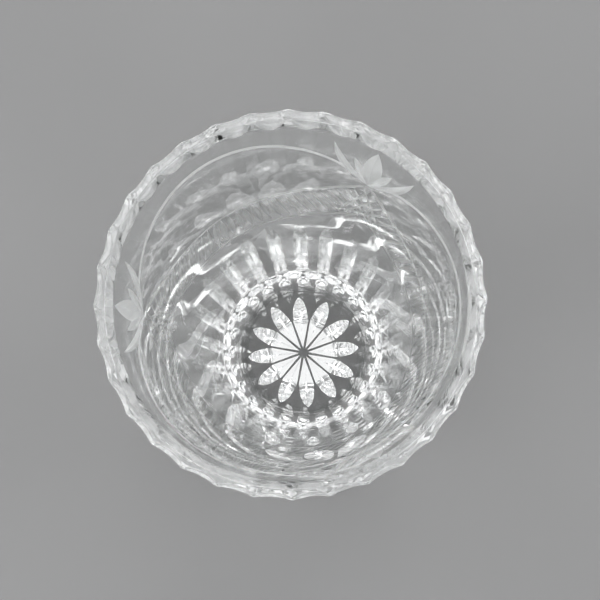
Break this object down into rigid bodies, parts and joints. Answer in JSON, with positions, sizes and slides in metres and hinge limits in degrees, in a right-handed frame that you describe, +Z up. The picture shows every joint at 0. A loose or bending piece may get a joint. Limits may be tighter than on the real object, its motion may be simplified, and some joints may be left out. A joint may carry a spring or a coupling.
{
  "type": "cut crystal vase",
  "caption": "Tall flared crystal vase in one piece, with a scalloped rim, cut leaf sprigs and swags, fluted lower wall and a star cut under the foot.",
  "frame": {"origin": "centre of the foot, on the surface the vase stands on", "axes": "+Z up the vase's axis from the foot to the mouth; +X lies a sixth of a turn before the first leaf sprig"},
  "size_m": [0.1396, 0.1396, 0.2],
  "materials": {
    "lead_crystal": "polished"
  },
  "bodies": {
    "root": {"vase_body": "lead_crystal"}
  },
  "joints": []
}
